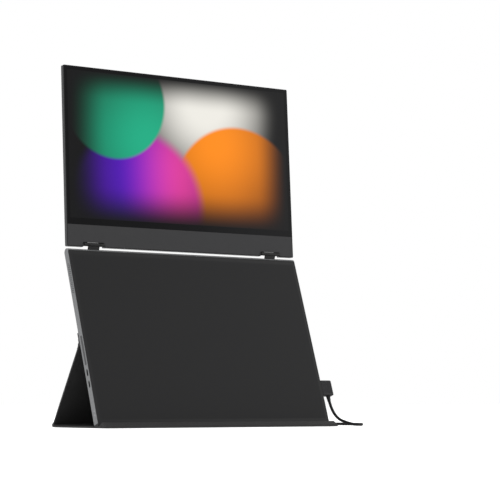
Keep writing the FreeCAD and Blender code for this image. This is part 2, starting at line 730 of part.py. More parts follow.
def makeFlap():
    # The base flap lies on the desk between the leg's foot and the toe board
    floor = -size("footRadius")
    skin = size("flapSkin")
    coreTop = floor + skin + size("coreThickness")
    reach = size("toeBackY") + size("flapGap") - footPivot.y
    clear = -(size("footRadius") + plateGap)
    solid = boxBetween(-halfWidth, halfWidth, reach, clear, floor + skin, coreTop)
    for x0, x1, knuckle in knuckles(size("footRadius"), 1, Vector(0, 0, 0)):
        solid = solid.fuse([knuckle, boxBetween(x0, x1, clear - 1, 0, floor + skin, coreTop)])
    solid = solid.cut(alongStand(size("standPinRadius"), 0, 0, 1))
    magnets = []
    for x in (-120.0, -40.0, 40.0, 120.0):
        magnet = boxBetween(x - 10, x + 10, reach + 3, reach + 9, floor + skin, coreTop)
        magnets.append(magnet)
    solid = solid.cut(magnets).removeSplitter()
    feature("flap_core", solid, flapPose)
    feature("flap_magnets", Part.makeCompound(magnets), flapPose)
    for name, low in (("flap_skin_bottom", floor), ("flap_skin_top", coreTop)):
        feature(name, boxBetween(-halfWidth, halfWidth, reach, clear, low, low + skin), flapPose)
    feature("flap_hinge_pin", alongStand(size("standPinRadius"), 0, 0, -0.5), flapPose)


def prism(points):
    outline = [Vector(-halfWidth, y, z) for y, z in points]
    face = Part.Face(Part.makePolygon(outline + outline[:1]))
    return face.extrude(Vector(2 * halfWidth, 0, 0))


def makeToe():
    top = size("toeThickness")
    front = -size("footReach")
    board = boxBetween(-halfWidth, halfWidth, front, size("toeBackY"), 0, top)
    feature("toe_board", board, FreeCAD.Placement())
    frontEdge = Vector(0, size("baseFootY"), size("baseFootZ"))
    backEdge = basePose.multVec(Vector(0, size("baseDepth"), 0))
    wedge = [
        (frontEdge.y, top),
        (frontEdge.y, frontEdge.z),
        (size("toeBackY"), frontEdge.z + (backEdge.z - frontEdge.z) *
         (size("toeBackY") - frontEdge.y) / (backEdge.y - frontEdge.y)),
        (size("toeBackY"), top),
    ]
    feature("toe_wedge", prism(wedge), FreeCAD.Placement())
    ridge = [(front + 1.5, top), (front + 8.0, top + 4.2), (front + 10.5, top + 4.4), (front + 16.5, top)]
    feature("toe_fold", prism(ridge), FreeCAD.Placement())


def makeScrews(leafScrews):
    keep(groupParts("leaf_screws_group", leafScrews), "leaf_screws", displayPose)
    arms = []
    for side in sides:
        for offset in (-4.5, 4.5):
            arms.append(screwAt("arm_screw", "%s + (%s)" % (notchCentre(side), offset),
                                "Sizes.armFront", "Sizes.armFootS + Sizes.armScrewRise"))
    keep(groupParts("arm_screws_group", arms), "arm_screws", basePose)


# Cable with its right-angle plug in the right side, and its spare length in a coil behind
cableRadius = size("cableDiameter") / 2
plugFoot = size("rightPortS") - size("plugBelowPort")
plugMiddle = size("plugCentreDepth")


def roundedBlock(x0, x1, y0, y1, z0, z1, radius, axis):
    solid = boxBetween(x0, x1, y0, y1, z0, z1)
    edges = []
    for line in solid.Edges:
        direction = line.Vertexes[1].Point - line.Vertexes[0].Point
        if abs(direction.normalize().dot(axis)) > 0.99:
            edges.append(line)
    return solid.makeFillet(radius, edges)


def makePlug():
    # The body stands on the wall over the port, the tip goes into it, the cable leaves below
    half = size("plugThickness") / 2
    wall = halfWidth + 0.3
    body = roundedBlock(wall, wall + size("plugReach"), plugMiddle - half, plugMiddle + half,
                        plugFoot, plugFoot + size("plugLength"), 2.4, Vector(0, 0, 1))
    feature("plug_body", body, basePose)
    port = size("rightPortS")
    middleY = size("baseDepth") / 2
    tipHalf = size("plugTipHalf")
    tipThick = size("plugTipThickness") / 2
    tip = roundedBlock(halfWidth - 5.0, wall, middleY - tipThick, middleY + tipThick,
                       port - tipHalf, port + tipHalf, tipThick - 0.05, acrossX)
    slot = boxBetween(halfWidth - 6.0, halfWidth - 0.4, middleY - 0.45, middleY + 0.45,
                      port - tipHalf + 0.8, port + tipHalf - 0.8)
    feature("plug_tip", tip.cut(slot), basePose)
    exitX = wall + size("plugExit")
    reliefFoot = Vector(exitX, plugMiddle, plugFoot - size("reliefLength"))
    up = Vector(0, 0, 1)
    relief = Part.makeCone(cableRadius + 0.4, cableRadius + 1.2, size("reliefLength"), reliefFoot, up)
    bore = Part.makeCylinder(cableRadius, size("reliefGrip"), reliefFoot, up)
    feature("plug_relief", relief.cut(bore), basePose)
    return basePose.multVec(reliefFoot + up * size("reliefGrip"))


def arcThrough(start, corner, end):
    # The arc that leaves start and reaches end with both tangents through the corner
    middle = (start + end) * 0.5
    rise = corner - middle
    halfChord = (end - start).Length / 2
    halfTurn = math.atan2(rise.Length, halfChord)
    top = middle + rise.normalize() * (halfChord * math.tan(halfTurn / 2))
    return Part.Arc(start, top, end).toShape()


def tubeAlong(edges, start, direction, radius):
    wire = Part.Wire(edges)
    profile = Part.Wire(Part.makeCircle(radius, start, direction))
    shell = Part.BRepOffsetAPI.MakePipeShell(wire)
    shell.add(profile)
    shell.build()
    shell.makeSolid()
    solid = shell.shape()
    expected = math.pi * radius ** 2 * wire.Length
    print("tube volume %.1f against section times length %.1f" % (solid.Volume, expected))
    return solid, wire.Length


def makeLead(start):
    direction = basePose.Rotation.multVec(Vector(0, 0, -1))
    firstRun = 26.0
    floor = cableRadius
    coilZ = 2.8
    bend = start + direction * firstRun
    route = [
        start,
        bend,
        Vector(207.0, -60.0, floor),
        Vector(233.0, -53.0, floor),
        Vector(247.0, -24.0, floor),
        Vector(245.0, 16.0, floor),
        Vector(231.0, 58.0, floor),
        Vector(203.0, 94.0, floor),
        Vector(170.0, 124.0, floor),
        Vector(140.0, 146.0, coilZ),
    ]
    edges = []
    here = route[0]
    for i in range(1, len(route) - 1):
        before = route[i] - route[i - 1]
        after = route[i + 1] - route[i]
        reach = 0.45 * min(before.Length, after.Length)
        enter = route[i] - Vector(before).normalize() * reach
        leave = route[i] + Vector(after).normalize() * reach
        turn = before.getAngle(after)
        print("lead turn %.1f degrees, radius %.1f mm" % (math.degrees(turn), reach / math.tan(turn / 2)))
        edges.append(Part.makeLine(here, enter))
        edges.append(arcThrough(enter, route[i], leave))
        here = leave
    edges.append(Part.makeLine(here, route[-1]))
    solid, length = tubeAlong(edges, route[0], direction, cableRadius)
    print("lead route " + ", ".join("(%.1f, %.1f, %.1f)" % tuple(point) for point in route))
    feature("cable_lead", solid, FreeCAD.Placement())
    last = (route[-1] - route[-2]).normalize()
    return route[-1], last, length


def smooth(fraction):
    fraction = min(max(fraction, 0.0), 1.0)
    return fraction * fraction * (3 - 2 * fraction)


coilOuter = 27.0
coilPitch = 5.0
layerRise = 5.0
endRadius = 33.0
inTurns = 2.5
riseTurns = 0.5
outTurns = 2.0
endTurns = 0.5
plugHalf = 3.6


def coilPoint(turns, lowZ):
    # Radius, height and angle after so many turns: in on the floor, up, out on top, then down
    angle = 2 * math.pi * turns
    inner = coilOuter - coilPitch * inTurns
    if turns <= inTurns:
        return coilOuter - coilPitch * turns, lowZ, angle
    if turns <= inTurns + riseTurns:
        return inner, lowZ + layerRise * smooth((turns - inTurns) / riseTurns), angle
    outStart = inTurns + riseTurns
    if turns <= outStart + outTurns:
        return inner + coilPitch * (turns - outStart), lowZ + layerRise, angle
    share = (turns - outStart - outTurns) / endTurns
    radius = inner + coilPitch * outTurns
    radius += (endRadius - radius) * smooth(share / 0.6)
    return radius, lowZ + layerRise + (plugHalf - lowZ - layerRise) * smooth((share - 0.55) / 0.45), angle


def makeCoil(start, direction):
    lowZ = start.z
    flat = Vector(direction.x, direction.y, 0).normalize()
    straight = size("cableDiameter")
    first = start + flat * straight
    centre = first + Vector(-flat.y, flat.x, 0) * coilOuter
    startAngle = math.atan2(first.y - centre.y, first.x - centre.x)

    def place(turns):
        radius, height, angle = coilPoint(turns, lowZ)
        angle += startAngle
        return Vector(centre.x + radius * math.cos(angle), centre.y + radius * math.sin(angle), height)

    def tangent(turns):
        step = 0.001
        return (place(turns + step) - place(turns - step)).normalize()

    total = inTurns + riseTurns + outTurns + endTurns
    count = int(round(total * 4))
    points = [place(total * i / count) for i in range(count + 1)]
    tangents = [tangent(total * i / count) for i in range(count + 1)]
    tangents[0] = flat
    tangents[-1] = Vector(tangents[-1].x, tangents[-1].y, 0).normalize()
    edges = [Part.makeLine(start, first)]
    for i in range(count):
        p0 = points[i]
        p1 = points[i + 1]
        t0 = tangents[i]
        t1 = tangents[i + 1]
        span = p1 - p0
        both = t0 + t1
        spread = 2 * (1 - t0.dot(t1))
        reach = (-span.dot(both) + math.sqrt(span.dot(both) ** 2 + spread * span.dot(span))) / spread
        corner0 = p0 + t0 * reach
        corner1 = p1 - t1 * reach
        joint = (corner0 + corner1) * 0.5
        edges.append(arcThrough(p0, corner0, joint))
        edges.append(arcThrough(joint, corner1, p1))
    end = points[-1] + tangents[-1] * straight
    edges.append(Part.makeLine(points[-1], end))
    solid, length = tubeAlong(edges, start, flat, cableRadius)
    sampleCount = 601
    samples = [place(total * i / (sampleCount - 1)) for i in range(sampleCount)]
    halfTurn = int(0.5 * (sampleCount - 1) / total)
    least = min((samples[i] - samples[j]).Length
                for i in range(sampleCount) for j in range(i + halfTurn, sampleCount))
    print("coil least gap %.2f mm over %d points" % (least - 2 * cableRadius, len(samples)))
    feature("cable_coil", solid, FreeCAD.Placement())
    return centre, startAngle, end, tangents[-1], length


def makeTie(centre, startAngle, lowZ):
    # A thin band round the bundle, opposite the end of the lead
    thickness = 0.6
    inner = coilOuter - coilPitch * inTurns - cableRadius - 0.5
    outer = endRadius + cableRadius + 0.6
    low = lowZ - cableRadius - 0.25
    high = lowZ + layerRise + cableRadius + 0.3
    halfBand = 4.0
    ring = boxBetween(inner - thickness, outer + thickness, -halfBand, halfBand,
                      low - thickness, high + thickness)
    hole = boxBetween(inner, outer, -halfBand - 1, halfBand + 1, low, high)
    band = ring.cut(hole)
    turn = math.degrees(startAngle) + 100
    pose = FreeCAD.Placement(Vector(centre.x, centre.y, 0), FreeCAD.Rotation(Vector(0, 0, 1), turn))
    feature("coil_tie", band, pose)


def makeFarPlug(point, direction):
    # The far plug lies on the desk beside the coil, in line with the end of the cable
    angle = math.degrees(math.atan2(direction.y, direction.x))
    pose = FreeCAD.Placement(point, FreeCAD.Rotation(Vector(0, 0, 1), angle))
    relief = Part.makeCone(cableRadius + 0.4, cableRadius + 1.0, 8.0, Vector(0, 0, 0), acrossX)
    feature("far_plug_relief", relief, pose)
    body = roundedBlock(8.0, 26.0, -5.6, 5.6, -plugHalf + 0.1, plugHalf - 0.4, 2.6, acrossX)
    feature("far_plug_body", body, pose)
    tip = roundedBlock(26.0, 32.4, -4.1, 4.1, -1.2, 1.2, 1.15, acrossX)
    slot = boxBetween(27.0, 33.0, -3.3, 3.3, -0.45, 0.45)
    feature("far_plug_tip", tip.cut(slot), pose)


makeDisplayShell()
makeChinCover()
makeDisplayPlates()
leafScrews = []
for label, side in notchSides:
    leafScrews += makeTiltHinge(label, side)
    makeTiltArm(label, side)
makeBaseShell()
makeBaseInside()
makeSocket("port_socket_low", -1, size("portLowS"))
makeSocket("port_socket_high", -1, size("portHighS"))
makeSocket("port_socket_right", 1, size("rightPortS"))
makeRocker()
makeLights()
makeStandLeaf()
makeLeg()
makeFlap()
makeToe()
makeScrews(leafScrews)
leadStart = makePlug()
coilStart, coilDirection, leadLength = makeLead(leadStart)
coilCentre, coilAngle, coilEnd, endDirection, coilLength = makeCoil(coilStart, coilDirection)
makeTie(coilCentre, coilAngle, coilStart.z)
makeFarPlug(coilEnd, endDirection)
doc.recompute()

print("cable length %.0f mm" % (leadLength + coilLength))
print("tilt axis at (%.2f, %.2f), on the lower panel depth %.2f height %.2f"
      % (axisPoint.y, axisPoint.z, axisOnBase.y, axisOnBase.z))
print("leg pivot (%.3f, %.3f), foot pivot (%.3f, %.3f), leg %.2f mm at %.3f degrees"
      % (legPivot.y, legPivot.z, footPivot.y, footPivot.z, legLength, legTurn))
print("coil centre (%.2f, %.2f), start angle %.3f" % (coilCentre.x, coilCentre.y, coilAngle))

for item in doc.Objects:
    if "Invalid" in item.State or "Error" in item.State:
        raise RuntimeError("%s is %s" % (item.Name, item.State))
for name, part in nodes:
    shape = part.Shape
    if shape.isNull() or not shape.isValid():
        raise RuntimeError("%s has no valid shape" % name)
    shape.exportStep("parts/%s.step" % name)
    print("%-22s %2d solids %10.1f mm3" % (name, len(shape.Solids), shape.Volume))
print("%d nodes" % len(nodes))
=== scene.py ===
import json
import math

import bpy
import numpy as np
from mathutils import Matrix, Vector


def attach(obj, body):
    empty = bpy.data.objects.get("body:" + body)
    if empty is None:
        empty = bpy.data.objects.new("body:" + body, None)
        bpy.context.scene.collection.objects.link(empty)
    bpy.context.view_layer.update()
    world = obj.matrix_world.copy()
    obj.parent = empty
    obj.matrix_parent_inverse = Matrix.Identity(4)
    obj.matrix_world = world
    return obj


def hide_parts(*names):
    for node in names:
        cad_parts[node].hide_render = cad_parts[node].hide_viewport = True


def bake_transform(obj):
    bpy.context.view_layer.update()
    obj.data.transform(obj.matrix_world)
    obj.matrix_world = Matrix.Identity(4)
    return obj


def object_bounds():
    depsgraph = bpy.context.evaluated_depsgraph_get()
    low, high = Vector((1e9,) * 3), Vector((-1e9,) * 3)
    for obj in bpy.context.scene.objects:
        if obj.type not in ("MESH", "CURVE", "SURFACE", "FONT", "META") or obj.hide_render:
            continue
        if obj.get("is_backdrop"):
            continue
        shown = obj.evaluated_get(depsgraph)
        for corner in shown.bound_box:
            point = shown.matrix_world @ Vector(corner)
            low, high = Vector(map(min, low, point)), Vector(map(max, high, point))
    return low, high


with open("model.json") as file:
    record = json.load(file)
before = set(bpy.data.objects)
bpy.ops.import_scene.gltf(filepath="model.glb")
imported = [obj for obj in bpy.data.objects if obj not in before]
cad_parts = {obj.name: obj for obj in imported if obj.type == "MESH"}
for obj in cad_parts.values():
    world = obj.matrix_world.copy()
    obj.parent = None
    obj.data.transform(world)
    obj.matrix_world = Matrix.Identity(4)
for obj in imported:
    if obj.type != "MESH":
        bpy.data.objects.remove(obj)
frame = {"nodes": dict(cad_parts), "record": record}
nodes = frame["nodes"]
mm = 0.001


def boxNow():
    # Lowest and highest corner of what is shown, as plain numbers
    bpy.context.view_layer.update()
    return [[round(value, 5) for value in corner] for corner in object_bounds()]


frameBox = boxNow()
print("stage: frame loaded")

# Camera: just above the floor and to the left of the object, pitched up a little
cameraSettings = {
    "place": (-1.36577, -2.08825, 0.03274),
    "turnRight": 34.754,
    "pitchUp": 4.538,
    "lens": 137.374,
    "sensor": 36.0,
    "farClip": 50.0,
}
cameraData = bpy.data.cameras.new("camera")
cameraData.lens = cameraSettings["lens"]
cameraData.sensor_width = cameraSettings["sensor"]
cameraData.clip_end = cameraSettings["farClip"]
camera = bpy.data.objects.new("camera", cameraData)
camera.location = cameraSettings["place"]
camera.rotation_euler = (
    math.radians(90 + cameraSettings["pitchUp"]),
    0.0,
    -math.radians(cameraSettings["turnRight"]),
)
bpy.context.collection.objects.link(camera)
bpy.context.scene.camera = camera

# Lean of the two panels in degrees, their feet in metres and half their width in mm, as in the CAD
displayPlace = {"lean": 3.53, "footY": 0.0320, "footZ": 0.23008}
basePlace = {"lean": 19.743, "footY": -0.0489, "footZ": 0.00647}
halfPanel = 177.6


def panelMatrix(place):
    turn = Matrix.Rotation(-math.radians(place["lean"]), 4, "X")
    return Matrix.Translation((0.0, place["footY"], place["footZ"])) @ turn


# Cable: the route of the lead in millimetres, then the turns of the coil, as in the CAD
cableSettings = {
    "diameter": 3.8 * mm,
    "length": 1.039,
    "pointRadius": 0.001,
    "endReach": 3.8,
    "roundSteps": 6,
    "bendSteps": 8,
}
leadRoute = [
    (187.8, -34.4, 36.9),
    (187.8, -43.2, 12.4),
    (207.0, -60.0, 1.9),
    (233.0, -53.0, 1.9),
    (247.0, -24.0, 1.9),
    (245.0, 16.0, 1.9),
    (231.0, 58.0, 1.9),
    (203.0, 94.0, 1.9),
    (170.0, 124.0, 1.9),
    (140.0, 146.0, 2.8),
]
coilSettings = {
    "centre": (120.97, 126.47),
    "startAngle": 0.938,
    "lowZ": 2.8,
    "outer": 27.0,
    "pitch": 5.0,
    "rise": 5.0,
    "endRadius": 33.0,
    "endZ": 3.6,
    "inTurns": 2.5,
    "riseTurns": 0.5,
    "outTurns": 2.0,
    "endTurns": 0.5,
    "wideBy": 0.6,
    "downFrom": 0.55,
    "pointsPerTurn": 16,
}


def smooth(fraction):
    # Nought to one with level ends, for a number or a whole array
    fraction = np.clip(fraction, 0, 1)
    return fraction * fraction * (3 - 2 * fraction)


def coilPoint(turns):
    # In on the floor, up at the inside, out on top, then down beside the coil
    c = coilSettings
    inner = c["outer"] - c["pitch"] * c["inTurns"]
    outStart = c["inTurns"] + c["riseTurns"]
    high = c["lowZ"] + c["rise"]
    if turns <= c["inTurns"]:
        radius = c["outer"] - c["pitch"] * turns
        height = c["lowZ"]
    elif turns <= outStart:
        radius = inner
        height = c["lowZ"] + c["rise"] * smooth((turns - c["inTurns"]) / c["riseTurns"])
    elif turns <= outStart + c["outTurns"]:
        radius = inner + c["pitch"] * (turns - outStart)
        height = high
    else:
        share = (turns - outStart - c["outTurns"]) / c["endTurns"]
        last = inner + c["pitch"] * c["outTurns"]
        radius = last + (c["endRadius"] - last) * smooth(share / c["wideBy"])
        height = high + (c["endZ"] - high) * smooth((share - c["downFrom"]) / (1 - c["downFrom"]))
    angle = c["startAngle"] + 2 * math.pi * turns
    x = c["centre"][0] + radius * math.cos(angle)
    y = c["centre"][1] + radius * math.sin(angle)
    return x, y, height


def makeCable():
    c = coilSettings
    total = c["inTurns"] + c["riseTurns"] + c["outTurns"] + c["endTurns"]
    count = int(total * c["pointsPerTurn"])
    points = list(leadRoute)
    points += [coilPoint(total * i / count) for i in range(1, count + 1)]
    # The last point runs straight on into the far plug's relief
    before = Vector(points[-2])
    end = Vector(points[-1])
    points.append(tuple(end + (end - before).normalized() * cableSettings["endReach"]))
    curve = bpy.data.curves.new("cable", "CURVE")
    curve.dimensions = "3D"
    # Small point radii under a large bevel keep the curve's own box tight round the cable
    curve.bevel_depth = cableSettings["diameter"] / 2 / cableSettings["pointRadius"]
    curve.bevel_resolution = cableSettings["roundSteps"]
    curve.resolution_u = cableSettings["bendSteps"]
    curve.use_fill_caps = True
    spline = curve.splines.new("NURBS")
    spline.points.add(len(points) - 1)
    for point, place in zip(spline.points, points):
        point.co = (place[0] * mm, place[1] * mm, place[2] * mm, 1.0)
        point.radius = cableSettings["pointRadius"]
    spline.order_u = 3
    spline.use_endpoint_u = True
    cable = bpy.data.objects.new("cable", curve)
    bpy.context.collection.objects.link(cable)
    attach(cable, "base")
    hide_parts("cable_lead", "cable_coil")
    return cable


cable = makeCable()
print("stage: camera and cable made")


# Shader maths: a wrapped socket that takes part in Python expressions
class Term:
    def __init__(self, graph, socket):
        self.graph = graph
        self.socket = socket

    def maths(self, operation, *others):
        node = self.graph.tree.nodes.new("ShaderNodeMath")
        node.operation = operation
        for place, value in zip(node.inputs, (self,) + others):
            self.graph.put(place, value)
        return Term(self.graph, node.outputs[0])

    def __add__(self, other):
        return self.maths("ADD", other)

    def __radd__(self, other):
        return self.maths("ADD", other)

    def __sub__(self, other):
        return self.maths("SUBTRACT", other)

    def __rsub__(self, other):
        return (self * -1.0) + other

    def __mul__(self, other):
        return self.maths("MULTIPLY", other)

    def __rmul__(self, other):
        return self.maths("MULTIPLY", other)

    def __truediv__(self, other):
        return self.maths("DIVIDE", other)

    def within(self, low, high):
        # Nought below low, one above high, smooth between
        node = self.graph.tree.nodes.new("ShaderNodeMapRange")
        node.interpolation_type = "SMOOTHSTEP"
        self.graph.put(node.inputs["Value"], self)
        self.graph.put(node.inputs["From Min"], low)
        self.graph.put(node.inputs["From Max"], high)
        return Term(self.graph, node.outputs["Result"])

    def between(self, ends, soft):
        # One between both ends, nought past them
        return self.within(ends[0], ends[0] + soft) * (1.0 - self.within(ends[1], ends[1] + soft))


class Graph:
    def __init__(self, name):
        self.material = bpy.data.materials.new(name)
        self.material.use_nodes = True
        self.tree = self.material.node_tree
        self.shader = self.tree.nodes["Principled BSDF"]
        self.coordinates = self.node("ShaderNodeTexCoord", "Object")

    def put(self, place, value):
        if isinstance(value, Term):
            self.tree.links.new(value.socket, place)
        else:
            place.default_value = value

    def node(self, kind, output, settings=None, **inputs):
        node = self.tree.nodes.new(kind)
        for name, value in (settings or {}).items():
            setattr(node, name, value)
        for name, value in inputs.items():
            self.put(node.inputs[name.replace("_", " ")], value)
        return Term(self, node.outputs[output])

    def constant(self, **values):
        for name, value in values.items():
            self.shader.inputs[name.replace("_", " ")].default_value = value

    def link(self, name, term):
        self.tree.links.new(term.socket, self.shader.inputs[name])

    def stretched(self, scale):
        return self.node("ShaderNodeMapping", 0, Vector=self.coordinates, Scale=scale)

    def noise(self, scale, detail=3.0, at=None):
        vector = at or self.coordinates
        return self.node("ShaderNodeTexNoise", 0, Vector=vector, Scale=scale, Detail=detail)

    def cells(self, scale, feature="F1"):
        settings = {"feature": feature}
        return self.node("ShaderNodeTexVoronoi", "Distance", settings, Vector=self.coordinates, Scale=scale)

    def mix(self, share, low, high):
        node = self.tree.nodes.new("ShaderNodeMix")
        node.data_type = "RGBA"
        self.put(node.inputs[0], share)
        for place, value in ((node.inputs[6], low), (node.inputs[7], high)):
            self.put(place, value if isinstance(value, Term) else (*value, 1.0))
        return Term(self, node.outputs[2])

    def bump(self, height, strength, distance):
        normal = self.node("ShaderNodeBump", "Normal", Height=height, Strength=strength, Distance=distance)
        self.link("Normal", normal)

    def axes(self):
        node = self.tree.nodes.new("ShaderNodeSeparateXYZ")
        self.put(node.inputs[0], self.coordinates)
        return [Term(self, node.outputs[i]) for i in range(3)]

    def onPanel(self, place):
        # Across, depth and height on a leaning panel, in metres
        x, y, z = self.axes()
        c = math.cos(math.radians(place["lean"]))
        s = math.sin(math.radians(place["lean"]))
        y = y - place["footY"]
        z = z - place["footZ"]
        return x, y * c - z * s, y * s + z * c


# Finishes. The scales of a pattern are in repeats per metre, its heights and depths in metres
speckleSettings = {"fine": 1800.0, "cloud": 40.0, "grainHeight": 0.00004}


def speckled(name, low, high, roughness, bump=0.15, gloss=0.5):
    # A fine even grain with slow clouds of tone and sheen
    s = speckleSettings
    g = Graph(name)
    fine = g.noise(s["fine"], 2.0)
    cloud = g.noise(s["cloud"], 4.0)
    g.link("Base Color", g.mix(fine * 0.45 + cloud * 0.55, low, high))
    g.link("Roughness", cloud * 0.12 + fine * 0.06 + (roughness - 0.09))
    g.constant(Specular_IOR_Level=gloss)
    g.bump(fine, bump, s["grainHeight"])
    return g.material


blastSettings = {
    "fine": 2600.0,
    "grain": 1900.0,
    "cloud": 22.0,
    "rub": 340.0,
    "rubInside": (0.0012, 0.0002),
    "rubShare": 0.06,
    "rubColour": (0.42, 0.42, 0.425),
    # The next three set the painted shade: how deep the front rim's shade runs, the wall skin outside the
    # shaded openings, and the shade's colour
    "rimShadeDepth": (0.0002, 0.0005),
    "wallSkin": (0.0003, 0.0001),
    "paintedShadeColour": (0.005, 0.005, 0.005),
    "grainHeight": 0.00005,
}
# The part of the lower panel's side walls that has holes and slots, along it and in depth; their insides get
# painted shade
baseOpenings = {"along": (0.002, 0.222), "depth": (0.0015, 0.0100)}


def blasted(name, low, high, place, openings=None):
    # Bead-blasted metal: a dense fine grain, soft clouds, hardly visible rubs along the edges and
    # a painted shade along the front rim, standing in for the shadow of the gap there. Where the side walls
    # have openings, their insides get painted shade too
    s = blastSettings
    wallX = halfPanel * mm
    g = Graph(name)
    x, depth, height = g.onPanel(place)
    fine = g.noise(s["fine"], 2.0)
    grain = g.cells(s["grain"])
    cloud = g.noise(s["cloud"], 4.0)
    rubs = g.noise(s["rub"], 5.0).within(0.52, 0.74)
    across = x.maths("ABSOLUTE")
    edge = across.within(wallX - s["rubInside"][0], wallX - s["rubInside"][1]) * rubs
    tone = g.mix(fine * 0.3 + cloud * 0.5 + grain * 0.2, low, high)
    worn = g.mix(edge * s["rubShare"], tone, s["rubColour"])
    # Painted shade along the front rim, standing in for the shadow of the gap there
    paintedShadeMask = 1.0 - depth.within(*s["rimShadeDepth"])
    if openings:
        # Painted shade inside the openings: surfaces behind the wall's skin in the slotted band are darkened
        inWall = 1.0 - across.within(wallX - s["wallSkin"][0], wallX - s["wallSkin"][1])
        inDepth = depth.between(openings["depth"], 0.0003)
        inHeight = height.between(openings["along"], 0.001)
        paintedShadeMask = (inWall * inDepth * inHeight).maths("MAXIMUM", paintedShadeMask)
    # Painted shade replaces the metal's colour at the front rim and inside the openings
    g.link("Base Color", g.mix(paintedShadeMask, worn, s["paintedShadeColour"]))
    g.link("Roughness", cloud * 0.12 + fine * 0.08 + paintedShadeMask * 0.3 + 0.36)
    g.link("Metallic", (1.0 - paintedShadeMask) * 0.75)
    g.constant(Specular_IOR_Level=0.3)
    g.bump(fine * 0.6 + grain * 0.4, 0.2, s["grainHeight"])
    return g.material


brushSettings = {"scale": 120.0, "stretch": (1.0, 40.0, 40.0), "lineHeight": 0.00003}


def brushed(name, low, high, roughness):
    # Metal with fine lines along X
    s = brushSettings
    g = Graph(name)
    lines = g.noise(s["scale"], 5.0, g.stretched(s["stretch"]))
    g.link("Base Color", g.mix(lines, low, high))
    g.link("Roughness", lines * 0.2 + (roughness - 0.1))
    g.constant(Metallic=1.0)
    g.bump(lines, 0.1, s["lineHeight"])
    return g.material


leatherSettings = {
    "warp": 220.0,
    "cells": 760.0,
    "valleyShare": 0.22,
    "smallCells": 2100.0,
    "creases": 620.0,
    "creaseStretch": (0.04, 1.0, 1.0),
    "cloud": 18.0,
    "low": (0.0165, 0.0165, 0.0169),
    "high": (0.0295, 0.0291, 0.0291),
    "grainHeight": 0.00022,
}


def leather(name, creased=0.0):
    # Pressed grain: rounded cells of two sizes with narrow valleys between them. Creased leather
    # also has fine lines along X, as it gets where it is folded again and again
    s = leatherSettings
    g = Graph(name)
    warp = g.noise(s["warp"], 3.0)
    valleys = g.cells(s["cells"], "DISTANCE_TO_EDGE").within(0.0, s["valleyShare"])
    small = g.cells(s["smallCells"])
    lines = g.noise(s["creases"], 3.0, g.stretched(s["creaseStretch"])).within(0.42, 0.66)
    height = valleys * 0.6 + small * -0.25 + warp * 0.35 - lines * creased
    cloud = g.noise(s["cloud"], 4.0)
    tone = cloud * 0.45 + warp * 0.25 + valleys * 0.3
    g.link("Base Color", g.mix(tone, s["low"], s["high"]))
    g.link("Roughness", cloud * 0.14 - valleys * 0.08 + lines * (creased * 0.1) + 0.56)
    g.constant(Specular_IOR_Level=0.15)
    g.bump(height, 0.75, s["grainHeight"])
    return g.material


# The lit picture. Its width, its height and how far up the panel it starts are in metres. Its edge
# and its fades are shares of it. The rest is in picture heights from its lower left corner
pictureSettings = {
    "width": 0.3442,
    "height": 0.1936,
    "foot": 0.0371,
    "edge": 0.0008,
    "unlit": (0.004, 0.004, 0.004),
    "glow": {"centre": (1.10, 0.86), "reach": (0.12, 0.66), "tone": (0.86, 0.84, 0.78)},
    "toneChange": (0.35, 0.92),
    "fade": {"left": (0.0, 0.17), "right": (0.0, 0.15), "foot": (-0.03, 0.24), "top": (-0.02, 0.20)},
}
amberDisc = {
    "centre": (1.36, 0.16),
    "radius": 0.55,
    "soft": 0.018,
    "light": (1.18, 0.58),
    "reach": 0.86,
    "shade": (0.07, 0.012, 0.0),
    "leftTone": (1.0, 0.27, 0.004),
    "rightTone": (1.0, 0.27, 0.004),
}
plumDisc = {
    "centre": (0.52, 0.10),
    "radius": 0.52,
    "soft": 0.05,
    "light": (0.70, 0.36),
    "reach": 0.80,
    "shade": (0.012, 0.001, 0.035),
    "leftTone": (0.11, 0.008, 0.62),
    "rightTone": (0.80, 0.05, 0.36),
}
greenDisc = {
    "centre": (0.36, 0.82),
    "radius": 0.40,
    "soft": 0.016,
    "light": (0.62, 0.56),
    "reach": 0.80,
    "shade": (0.004, 0.035, 0.018),
    "leftTone": (0.012, 0.42, 0.23),
    "rightTone": (0.012, 0.42, 0.23),
}


def screenGlass(name):
    # A black border round a lit picture: large soft discs over a pale glow, each lit from one place
    s = pictureSettings
    g = Graph(name)
    x, _, height = g.onPanel(displayPlace)
    u = x / s["width"] + 0.5
    v = (height - s["foot"]) / s["height"]

    def started(term):
        return term.within(-s["edge"], s["edge"])

    inside = started(u) * started(1.0 - u) * started(v) * started(1.0 - v)
    across = u * (s["width"] / s["height"])

    def distance(place):
        dx = across - place[0]
        dy = v - place[1]
        return (dx * dx + dy * dy).maths("SQRT")

    glow = 1.0 - distance(s["glow"]["centre"]).within(*s["glow"]["reach"])
    picture = g.mix(glow, s["unlit"], s["glow"]["tone"])
    for disc in (amberDisc, plumDisc, greenDisc):
        rim = (disc["radius"] - disc["soft"], disc["radius"] + disc["soft"])
        mask = 1.0 - distance(disc["centre"]).within(*rim)
        light = 1.0 - distance(disc["light"]).within(0.02, disc["reach"])
        tone = g.mix(across.within(*s["toneChange"]), disc["leftTone"], disc["rightTone"])
        picture = g.mix(mask, picture, g.mix(light, disc["shade"], tone))
    fade = s["fade"]
    fadeSides = u.within(*fade["left"]) * (1.0 - u).within(*fade["right"])
    fadeEnds = v.within(*fade["foot"]) * (1.0 - v).within(*fade["top"])
    picture = g.mix(fadeSides * fadeEnds, s["unlit"], picture)
    smear = g.noise(14.0, 4.0)
    g.link("Base Color", g.mix(smear, (0.0034, 0.0034, 0.0037), (0.0056, 0.0056, 0.006)))
    g.link("Emission Color", g.mix(inside, (0.0, 0.0, 0.0), picture))
    g.link("Roughness", smear * 0.06 + 0.12)
    g.constant(Emission_Strength=1.0, Specular_IOR_Level=0.06)
    return g.material


